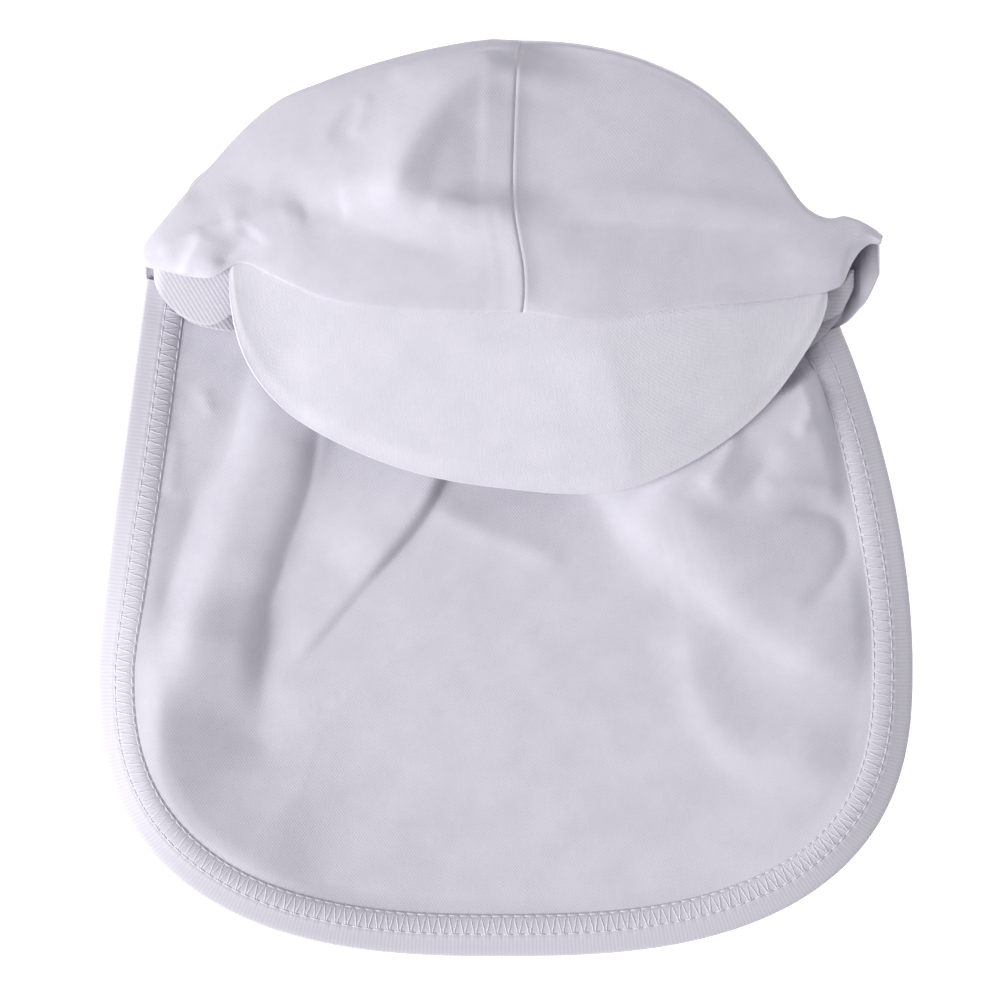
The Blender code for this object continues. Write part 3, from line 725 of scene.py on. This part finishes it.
def band_places(across, along):
    """Places on the band's outer face: across once round the mouth, along from its fold to its sewn edge."""
    turn = across * math.pi + math.pi
    middle, reach = (LEFT_TURN + RIGHT_TURN) / 2, (RIGHT_TURN - LEFT_TURN) / 2
    place = middle - reach * np.cos(turn)
    from_ear = CROWN_REACH * reach * (1 - np.abs(np.cos(turn)))
    upper = np.sin(turn) > 0
    front, back = front_y(place) + PEAK_TUCK, back_y(place) + BAND_BACK * BAND_WIDTH
    apart = ramp(from_ear / BAND_WIDTH)
    sewn = (front + back) / 2 + np.where(upper, front - back, back - front) / 2 * apart
    opening = arc(from_ear / BAND_WIDTH)
    slower = (1 - SLOW_SHARE) * opening + SLOW_SHARE * ramp(from_ear / (SLOW_REACH * BAND_WIDTH))
    opening = np.where(place > 0, slower, opening)
    width = BAND_WIDTH * (BAND_NOSE + (1 - BAND_NOSE) * opening)
    bottom = KNIT + GAP + (BOUND_WALL - KNIT) * between(np.abs(place), ON_BINDING)
    top = rim_height(place) - GAP - peak_layer(place)
    drop = np.minimum(BAND_SINK * BAND_WIDTH, SLIT_CLOSING * (top - bottom - 2 * BAND_WALL))
    top = top - drop * (1 - along)
    half = (top - bottom) / 2
    bulge = half * arc(from_ear / half)
    x = CROWN_SHIFT + CROWN_REACH * place
    z = (top + bottom) / 2 + np.where(upper, bulge, -bulge)
    return np.stack([x, sewn - width * (1 - along), z], -1)


open_rib = rib_knit("cotton_1x1_rib_stretched", BAND_GROOVE)
columns, rows = BAND_FACES
across, along = np.meshgrid(np.linspace(-1, 1, columns + 1), np.linspace(0, 1, rows + 1), indexing="ij")
places = band_places(across, along)
x, y = places[..., 0] * 1000, places[..., 1] * 1000
across_wales = np.where(x > 0, y, x * LEFT_WALES[0] + y * LEFT_WALES[1])
along_wales = np.where(x > 0, x, y * LEFT_WALES[0] - x * LEFT_WALES[1])
cloth = np.stack([across_wales, along_wales], -1)
band = cloth_piece("rim_band_rib", places, cloth, open_rib, BAND_WALL, -1)
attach(band, "root")
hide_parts("rim_band")


# Neck flap: one layer of the jersey, sewn to the crown's back edge. It lies face down in long soft folds that
# fan out from under the peak. Its sides roll down to the floor, and its lower left edge curls up a little.
FLAP_REACH = FLAP_WIDTH / 2
HEM_ROLL = 0.0095
BINDING_WIDTH = 0.0059
FLAP_FACES = (230, 200)

# The flap's outline: a hem fuller than a half ellipse, and sides that taper towards the crown, each by a
# share of FLAP_REACH and with a power. Its inward directions are blended over NORMAL_BLEND samples
HEM_SHARE = 0.455
HEM_FULLNESS = 2.6
LEFT_TAPER = (0.115, 1.15)
RIGHT_TAPER = (0.178, 1.9)
HEM_CORNERS = (0.36, 0.64)
SIDE_SAMPLES = 300
HEM_SAMPLES = 800
NORMAL_BLEND = 81

# The flap is held flat next to the crown, where the band lies on it: up to FLAT_REACH from the crown's back
# edge, and hardly at all at the right ear, past the share of the crown's reach where FLAT_END starts
FLAT_REACH = 0.0125
FLAT_AT_EAR = 0.001
FLAT_END = (0.71, 0.93)
FREE_WIDTH = 0.007

# Past the binding the cloth comes down to the floor, over this many of the binding's widths
COMING_DOWN = 1.5

# Folds start this far in from the cut edge, and are seen at this height in the camera's picture. They end
# softly where they meet the floor
FOLD_INSET = 0.0075
FOLD_HEIGHT = 0.006
FLOOR_SOFTNESS = 0.0015
PLACES_AT_ONCE = 4000

# How the flap's edge rolls down to the floor, by share of the way round it from left to right. roll is a
# share of HEM_ROLL. rise and fall: mm from the edge to the crest, and on from there. round: of that fall.
# raised: the share of the roll that the edge itself stands off the floor, where it curls up
EDGE_ROLL = (
    # way, roll, rise, fall, round, raised
    (0.00, 0.00, 15.5, 24.0, 2.00, 0.00),
    (0.07, 0.02, 15.5, 24.0, 2.00, 0.00),
    (0.10, 0.13, 15.5, 24.0, 2.00, 0.00),
    (0.13, 0.34, 15.5, 24.0, 2.00, 0.00),
    (0.16, 0.50, 16.5, 24.0, 2.00, 0.00),
    (0.19, 0.76, 17.5, 23.0, 1.90, 0.00),
    (0.22, 0.96, 16.5, 22.0, 1.45, 0.16),
    (0.25, 1.02, 13.5, 21.0, 1.30, 0.38),
    (0.28, 1.02, 11.5, 22.0, 1.25, 0.56),
    (0.31, 0.94, 11.0, 25.0, 1.20, 0.70),
    (0.34, 0.84, 11.5, 27.0, 1.20, 0.81),
    (0.38, 0.70, 12.5, 28.0, 1.20, 0.84),
    (0.42, 0.48, 13.0, 26.0, 1.40, 0.80),
    (0.46, 0.28, 15.5, 24.0, 1.80, 0.60),
    (0.55, 0.08, 15.5, 24.0, 2.00, 0.00),
    (0.63, 0.10, 15.5, 24.0, 2.00, 0.00),
    (0.71, 0.30, 15.5, 24.0, 2.00, 0.00),
    (0.80, 0.32, 15.5, 24.0, 2.00, 0.00),
    (0.89, 0.20, 15.5, 24.0, 2.00, 0.00),
    (0.95, 0.30, 15.5, 24.0, 2.00, 0.00),
    (1.00, 0.30, 15.5, 24.0, 2.00, 0.00),
)

# Folds of the flap, given as the crown's are
FLAP_FOLDS = (
    # rise, left, right, round, places
    (
        *(5.2, 48, 38, 4.6),
        ((310, 330), (296, 400), (283, 460), (262, 520), (241, 580), (222, 640), (214, 690), (210, 720)),
    ),
    (
        *(-2.7, 19, 11, 1.6),
        ((322, 390), (312, 460), (306, 490), (296, 520), (284, 550), (276, 580), (267, 610), (261, 650)),
    ),
    (1.7, 50, 85, 1.6, ((166, 600), (164, 690), (170, 750), (188, 800), (220, 840), (266, 868), (330, 884))),
    (-1.7, 56, 30, 1.7, ((274, 560), (264, 630), (260, 670), (259, 720), (254, 780))),
    (1.7, 56, 6, 1.6, ((470, 405), (438, 470), (411, 516), (379, 552), (340, 600), (304, 642), (272, 674))),
    (2.4, 54, 9, 1.8, ((478, 360), (448, 440), (425, 487), (400, 527), (372, 562), (350, 590))),
    (
        *(3.8, 34, 95, 1.9),
        ((566, 410), (628, 490), (660, 524), (700, 556), (752, 606), (800, 636), (850, 660), (890, 690)),
    ),
    (2.0, 50, 80, 2.0, ((650, 350), (690, 440), (712, 510), (740, 570), (790, 620))),
    (5.6, 80, 66, 2.2, ((600, 500), (680, 484), (746, 448), (800, 392), (832, 330), (862, 240))),
    (-1.6, 18, 20, 1.8, ((780, 440), (756, 478), (724, 506), (690, 496), (660, 480))),
    (2.0, 26, 36, 1.9, ((690, 590), (694, 640), (702, 690), (716, 722), (742, 748), (790, 756), (860, 748))),
    (-1.1, 10, 12, 1.7, ((780, 518), (808, 510), (838, 520), (848, 548), (834, 578), (794, 616))),
    (0.9, 12, 12, 1.7, ((752, 490), (800, 486), (846, 494))),
    (1.2, 9, 10, 1.6, ((736, 428), (722, 462), (702, 492))),
    (1.2, 9, 8, 1.6, ((822, 374), (812, 408), (796, 438))),
    (1.6, 20, 24, 1.7, ((412, 494), (482, 531), (528, 548), (584, 576))),
    (-0.4, 9, 12, 1.8, ((484, 660), (528, 606), (590, 546))),
    (-1.3, 13, 14, 1.8, ((238, 390), (222, 440), (210, 468), (198, 496), (188, 526), (178, 560), (160, 640))),
    (-1.6, 9, 10, 1.7, ((246, 340), (214, 364), (196, 378), (188, 392), (196, 412))),
    (0.9, 8, 8, 1.6, ((202, 388), (205, 400), (214, 416))),
    (-1.0, 12, 12, 1.8, ((178, 378), (172, 405), (178, 432))),
    (0.8, 9, 9, 1.7, ((176, 434), (172, 462), (166, 500))),
    (-0.5, 8, 12, 1.8, ((645, 660), (652, 626), (684, 592))),
)


def flap_outline():
    """The outer edge of the bound flap, from the left ear round to the right ear, and its inward side."""
    widest = MOUTH_Y - FLAP_LENGTH * (1 - HEM_SHARE)
    rise = np.linspace(1, 0, SIDE_SAMPLES, endpoint=False)
    turn = np.linspace(math.pi, 2 * math.pi, HEM_SAMPLES)
    left_x = -FLAP_REACH * (1 - LEFT_TAPER[0] * rise ** LEFT_TAPER[1])
    right_x = FLAP_REACH * (1 - RIGHT_TAPER[0] * rise[::-1] ** RIGHT_TAPER[1])
    hem_x = FLAP_REACH * np.sign(np.cos(turn)) * np.abs(np.cos(turn)) ** (2 / HEM_FULLNESS)
    hem_y = -FLAP_LENGTH * HEM_SHARE * np.abs(np.sin(turn)) ** (2 / HEM_FULLNESS)
    left_top = back_y(crown_across(left_x[0]))
    right_top = back_y(crown_across(right_x[-1]))
    x = np.concatenate([left_x, hem_x, right_x])
    side_y = [rise * (left_top - widest), hem_y, rise[::-1] * (right_top - widest)]
    y = widest + np.concatenate(side_y)
    run = np.concatenate([[0], np.cumsum(np.hypot(np.diff(x), np.diff(y)))])
    run = run / run[-1]
    way = np.linspace(0, 1, 2 * SIDE_SAMPLES + HEM_SAMPLES)
    x, y = np.interp(way, run, x), np.interp(way, run, y)
    inward = np.stack([-np.gradient(y), np.gradient(x)])
    inward = inward / np.hypot(*inward)
    beyond = NORMAL_BLEND // 2
    padded = np.pad(inward, ((0, 0), (beyond, beyond)), mode="edge")
    blend = np.ones(NORMAL_BLEND) / NORMAL_BLEND
    inward = np.stack([np.convolve(component, blend, mode="valid") for component in padded])
    return way, x, y, *(inward / np.hypot(*inward))


OUTLINE_WAY, OUTLINE_X, OUTLINE_Y, INWARD_X, INWARD_Y = flap_outline()
OUTLINE_LENGTH = float(np.hypot(np.diff(OUTLINE_X), np.diff(OUTLINE_Y)).sum())
CUT_X = OUTLINE_X + INWARD_X * BOUND_WALL / 2
CUT_Y = OUTLINE_Y + INWARD_Y * BOUND_WALL / 2


def flap_inset(way, inset):
    """A place on the flap at a distance in from its cut edge, up to its seam with the crown."""
    x = np.interp(way, OUTLINE_WAY, CUT_X) + np.interp(way, OUTLINE_WAY, INWARD_X) * inset
    y = np.interp(way, OUTLINE_WAY, CUT_Y) + np.interp(way, OUTLINE_WAY, INWARD_Y) * inset
    return x, np.minimum(y, back_y(crown_across(x)))


def cloth_height(x, y, inset, way):
    """Height of the middle of the flap's cloth above the floor, from its distance in from the cut edge."""
    roll = HEM_ROLL * np.maximum(read(EDGE_ROLL, 1, way), 0)
    past_binding = ramp((inset - BINDING_WIDTH) / (COMING_DOWN * BINDING_WIDTH))
    lying = BOUND_WALL / 2 + (KNIT - BOUND_WALL) / 2 * past_binding
    rise, fall = read(EDGE_ROLL, 2, way) / 1000, read(EDGE_ROLL, 3, way) / 1000
    past_crest = np.clip(inset - rise, 0, None) / fall
    raised = np.clip(read(EDGE_ROLL, 5, way), 0, 1)
    rolled = roll * (raised + (1 - raised) * np.sin(np.clip(inset / rise, 0, 1) * math.pi / 2))
    rolled = rolled * np.exp(-(past_crest ** read(EDGE_ROLL, 4, way)))
    folds = fold_relief(FLAP_FOLDS, *picture_place(x, y, FOLD_HEIGHT))
    folds = folds * between(inset, (FOLD_INSET, 2 * FOLD_INSET))
    across = crown_across(x)
    flat = FLAT_REACH + (FLAT_AT_EAR - FLAT_REACH) * between(across, FLAT_END)
    free = ramp((back_y(across) - flat - y) / FREE_WIDTH)
    height = lying + (rolled + folds) * free
    soft_start = KNIT / 2 + FLOOR_SOFTNESS
    below = np.minimum(height - soft_start, 0)
    soft_floor = KNIT / 2 + FLOOR_SOFTNESS * np.exp(below / FLOOR_SOFTNESS)
    return np.maximum(np.where(height > soft_start, height, soft_floor), lying)


def flap_height(x, y):
    """Height of the middle of the flap's cloth at places x, y."""
    shape = np.shape(x)
    x, y = np.ravel(x), np.ravel(y)
    inset, ahead, nearest = np.empty(len(x)), np.empty(len(x)), np.empty(len(x), int)
    for start in range(0, len(x), PLACES_AT_ONCE):
        part = slice(start, start + PLACES_AT_ONCE)
        off_x, off_y = x[part, None] - CUT_X, y[part, None] - CUT_Y
        closest = np.hypot(off_x, off_y).argmin(1)
        rows = np.arange(len(closest))
        nearest[part] = closest
        off_x, off_y = off_x[rows, closest], off_y[rows, closest]
        inset[part] = off_x * INWARD_X[closest] + off_y * INWARD_Y[closest]
        ahead[part] = off_x * INWARD_Y[closest] - off_y * INWARD_X[closest]
    way = np.clip(OUTLINE_WAY[nearest] + ahead / OUTLINE_LENGTH, 0, 1)
    return cloth_height(x, y, np.maximum(inset, 0), way).reshape(shape)


# The flap's grid is blended from its left side, its hem, its right side and its seam with the crown
columns, rows = FLAP_FACES
u, v = np.linspace(0, 1, columns + 1), np.linspace(0, 1, rows + 1)
left = np.stack(flap_inset(HEM_CORNERS[0] * v, 0.0), -1)
hem = np.stack(flap_inset(HEM_CORNERS[0] + (HEM_CORNERS[1] - HEM_CORNERS[0]) * u, 0.0), -1)
right = np.stack(flap_inset(1 - (1 - HEM_CORNERS[1]) * v, 0.0), -1)
top_x = left[0, 0] + (right[0, 0] - left[0, 0]) * u
top = np.stack([top_x, back_y(crown_across(top_x))], -1)
u, v = u[:, None, None], v[None, :, None]
sides = (1 - u) * left[None] + u * right[None] + (1 - v) * top[:, None] + v * hem[:, None]
corners = (1 - v) * ((1 - u) * left[0] + u * right[0]) + v * ((1 - u) * left[-1] + u * right[-1])
plan = (sides - corners)[:, ::-1]
places = np.concatenate([plan, flap_height(plan[..., 0], plan[..., 1])[..., None]], -1)
cloth = plan * 1000
flap = cloth_piece("neck_flap_jersey", places, cloth, jersey, KNIT, 0)
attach(flap, "root")
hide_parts("neck_flap")


# Flap binding: a strip of the white 1x1 rib, folded round the flap's cut edge with its ribs across the edge.
# The two rows of the seam that holds it pull it in at every stitch, so that it puffs up between them.
BINDING_LEG = 0.0099
UNDER_LEG = 0.0050
STITCH = 0.0031
STITCH_SAMPLES = 8
ROWS = (0.0046, 0.0094)
LEG_FACES = 27
TURN_FACES = 8
LINING_STEP = 6
INNER_TURN_STEP = 2
CLOTH_SAMPLES = 28
CLOTH_SPARE = 1.35

# Relief of the binding's face: how far its inner edge sinks into the jersey, how it puffs up between the
# rows and, half as high, beside the outer one, and how the rows pull it in, less between their holes.
# PUFF_STEADY is the share of the puff that stays at the holes. A puff with a lower power is blunter
LEG_SINK = 0.0011
PUFF = 0.00018
PUFF_STEADY = 0.85
POWER_ALONG = 0.7
POWER_ACROSS = 0.6
SIDE_PUFF = 0.5
SIDE_PUFF_AWAY = 0.0009
SIDE_PUFF_WIDTH = 0.0006
PINCH = 0.00022
PINCH_WIDTH = 0.00045
PINCH_EASE = 0.5

# The rib is never thinner than LEAST_WALL. Its fold is pressed a little flat, and it stays OFF_FLOOR
LEAST_WALL = 0.0002
NOSE_FLATTENING = 0.5
OFF_FLOOR = 0.00002
BINDING_GROOVE = 0.08


def edge_places(way, reach):
    """Places on the middle of the flap's cloth, by true distance in from its cut edge."""
    inset = np.linspace(0, CLOTH_SPARE * reach[-1], CLOTH_SAMPLES)
    x, y = flap_inset(way[:, None], inset[None, :])
    height = cloth_height(x, y, np.broadcast_to(inset, x.shape), np.broadcast_to(way[:, None], x.shape))
    places = np.stack([x, y, height], -1)
    run = cloth_run(places, 1) / 1000
    out = np.empty((len(way), len(reach), 3))
    for i in range(len(way)):
        for axis in range(3):
            out[i, :, axis] = np.interp(reach, run[i], places[i, :, axis])
    return out


def edge_normals(strip):
    """Upward unit normals of a strip along the flap's edge, and its unit inward directions."""
    inward = np.gradient(strip, axis=1)
    inward /= np.linalg.norm(inward, axis=-1)[..., None]
    up = np.cross(np.gradient(strip, axis=0), inward)
    up /= np.linalg.norm(up, axis=-1)[..., None]
    return up * np.sign(up[..., 2:]), inward


def binding_lift(stitch, inset):
    """Height of the binding's face over the middle of the cloth, by stitches along and distance in."""
    across = np.clip((inset - ROWS[0]) / (ROWS[1] - ROWS[0]), 0, 1)
    past_row = np.clip((inset - ROWS[0]) / (BINDING_LEG - ROWS[0]), 0, 1)
    puffed = np.abs(np.sin(math.pi * stitch)) ** POWER_ALONG
    lift = KNIT / 2 + GAP + BINDING_WALL - LEG_SINK * past_row
    between_rows = (4 * across * (1 - across)) ** POWER_ACROSS
    lift = lift + PUFF * between_rows * (PUFF_STEADY + (1 - PUFF_STEADY) * puffed)
    from_side_puff = (inset - ROWS[0] + SIDE_PUFF_AWAY) / SIDE_PUFF_WIDTH
    lift = lift + SIDE_PUFF * PUFF * puffed * np.exp(-(from_side_puff**2))
    for row in ROWS:
        pulled = PINCH * (1 - PINCH_EASE * puffed)
        lift = lift - pulled * np.exp(-(((inset - row) / PINCH_WIDTH) ** 2))
    return lift


rib = rib_knit("cotton_1x1_rib_brushed", BINDING_GROOVE)
stitches = round(OUTLINE_LENGTH / STITCH)
way = np.linspace(0, 1, stitches * STITCH_SAMPLES + 1)
legs = np.linspace(0, BINDING_LEG, LEG_FACES + 1)
strip = edge_places(way, legs)
up, inward = edge_normals(strip)
lift = binding_lift(way[:, None] * stitches, legs[None, :])
over = strip + up * lift[..., None]
lining = strip + up * np.minimum(KNIT / 2 + GAP, lift - LEAST_WALL)[..., None]
angles = np.radians(np.linspace(-90, 90, TURN_FACES + 1))
radius = KNIT / 2 + GAP + BINDING_WALL
turned = np.sin(angles)[None, :, None] * up[:, None, 0] - np.cos(angles)[None, :, None] * inward[:, None, 0]
flattened = turned - NOSE_FLATTENING * inward[:, None, 0] * (1 - np.cos(angles))[None, :, None]
nose = strip[:, None, 0] + radius * flattened
inner_nose = strip[:, None, 0] + (KNIT / 2 + GAP) * turned
under_reach = np.searchsorted(legs, UNDER_LEG)
below = strip[:, [under_reach, under_reach // 2]] - up[:, [under_reach, under_reach // 2]] * radius
inner_below = strip[:, [under_reach]] - up[:, [under_reach]] * (KNIT / 2 + GAP)
inside = [lining[:, :0:-LINING_STEP], inner_nose[:, ::-INNER_TURN_STEP], inner_below]
places = np.concatenate([below, nose, over[:, 1:], *inside, below[:, :1]], axis=1)
places[..., 2] = np.maximum(places[..., 2], OFF_FLOOR)
around = cloth_run(places, 1)
cloth = np.stack([np.broadcast_to((way * OUTLINE_LENGTH * 1000)[:, None], around.shape), around], -1)
binding = cloth_piece("flap_binding_rib", places, cloth, rib, 0, 0)
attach(binding, "root")
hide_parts("flap_binding")


# Coverstitch thread: spun white polyester. The looper thread runs in zigzags from one row of needle holes to
# the other, a zig and a zag at every stitch, and a needle thread shows as a line of short beads in each row.
THREAD = 0.00038
LOOPER = 0.00044
TWISTS_PER_METRE = 2600
TWIST_DEPTH = 0.0001
THREAD_LIGHT = "#E6E4ED"
THREAD_DARK = "#D6D3DF"

# One stitch of each thread. along: mm along the edge, across: from the jersey's row at 0 to the rib's at 1,
# height: thread thicknesses above the cloth
ZIGZAG = (
    # along, across, height
    (0.00, -0.02, -0.6),
    (0.30, 0.18, -0.2),
    (0.52, 0.42, -0.1),
    (0.92, 0.66, -0.1),
    (1.10, 0.90, -0.1),
    (1.55, 1.03, 0.0),
    (1.90, 0.97, -0.1),
    (1.78, 0.80, 0.0),
    (2.20, 0.58, -0.1),
    (2.32, 0.34, -0.1),
    (2.80, 0.16, -0.2),
)
BEADS = (
    # along, height
    (0.00, -1.0),
    (0.45, 0.2),
    (1.55, 0.5),
    (2.65, 0.2),
)

# The cloth's slope is read this far on each side of a thread. The first and last stitches, under the crown,
# are left out
BESIDE = 0.0004
UNSEWN = 2


def sewing_thread(name):
    """Spun polyester thread: brighter and a little shinier than the cotton, with a fine twist."""
    thread = bpy.data.materials.new(name)
    thread.use_nodes = True
    finish = thread.node_tree.nodes["Principled BSDF"]
    spot = add_node(thread, "ShaderNodeTexCoord", {})
    inputs = {"Vector": spot.outputs["Object"], "Scale": TWISTS_PER_METRE, "Detail": 2}
    twist = add_node(thread, "ShaderNodeTexNoise", inputs)
    inputs = {"Height": twist.outputs["Fac"], "Strength": 0.4, "Distance": TWIST_DEPTH}
    relief = add_node(thread, "ShaderNodeBump", inputs)
    tone = add_node(thread, "ShaderNodeValToRGB", {"Fac": twist.outputs["Fac"]})
    tone.color_ramp.elements[0].position = 0.25
    tone.color_ramp.elements[0].color = (*linear(THREAD_DARK), 1)
    tone.color_ramp.elements[1].position = 0.75
    tone.color_ramp.elements[1].color = (*linear(THREAD_LIGHT), 1)
    thread.node_tree.links.new(tone.outputs["Color"], finish.inputs["Base Color"])
    thread.node_tree.links.new(relief.outputs["Normal"], finish.inputs["Normal"])
    finish.inputs["Roughness"].default_value = 0.6
    return thread


def strand(name, points, thickness, finish):
    """A thread through a line of points, as a mesh tube."""
    curve = bpy.data.curves.new(name, "CURVE")
    curve.dimensions = "3D"
    curve.bevel_depth = thickness / 2
    curve.bevel_resolution = 1
    curve.use_fill_caps = True
    line = curve.splines.new("POLY")
    line.points.add(len(points) - 1)
    for point, place in zip(line.points, points):
        point.co = (*place, 1)
    drawn = bpy.data.objects.new(name + "_line", curve)
    bpy.context.scene.collection.objects.link(drawn)
    mesh = bpy.data.meshes.new_from_object(drawn.evaluated_get(bpy.context.evaluated_depsgraph_get()))
    bpy.data.objects.remove(drawn)
    mesh.name = name
    mesh.shade_smooth()
    mesh.materials.clear()
    mesh.materials.append(finish)
    piece = bpy.data.objects.new(name, mesh)
    bpy.context.scene.collection.objects.link(piece)
    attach(piece, "root")
    return piece


def stitched_path(stitch_places, thickness):
    """The places of a thread, from its (along, across, height) in each stitch."""
    sewn = np.arange(UNSEWN, stitches - UNSEWN)
    path = np.empty((len(sewn), len(stitch_places), 3))
    for number, (along, across, height) in enumerate(stitch_places):
        stitch = sewn + along / 1000 / STITCH
        inset = ROWS[1] - across * (ROWS[1] - ROWS[0])
        strip = edge_places(stitch / stitches, np.array([inset - BESIDE, inset, inset + BESIDE]))
        up = edge_normals(strip)[0]
        lift = binding_lift(stitch, inset) + height * thickness
        path[:, number] = strip[:, 1] + up[:, 1] * lift[:, None]
    return path.reshape(-1, 3)


thread = sewing_thread("spun_polyester_thread")
strand("looper_thread", stitched_path(ZIGZAG, LOOPER), LOOPER, thread)
for name, row in (("needle_thread_jersey", 0.0), ("needle_thread_rib", 1.0)):
    beads = [(along, row, height) for along, height in BEADS]
    strand(name, stitched_path(beads, THREAD), THREAD, thread)
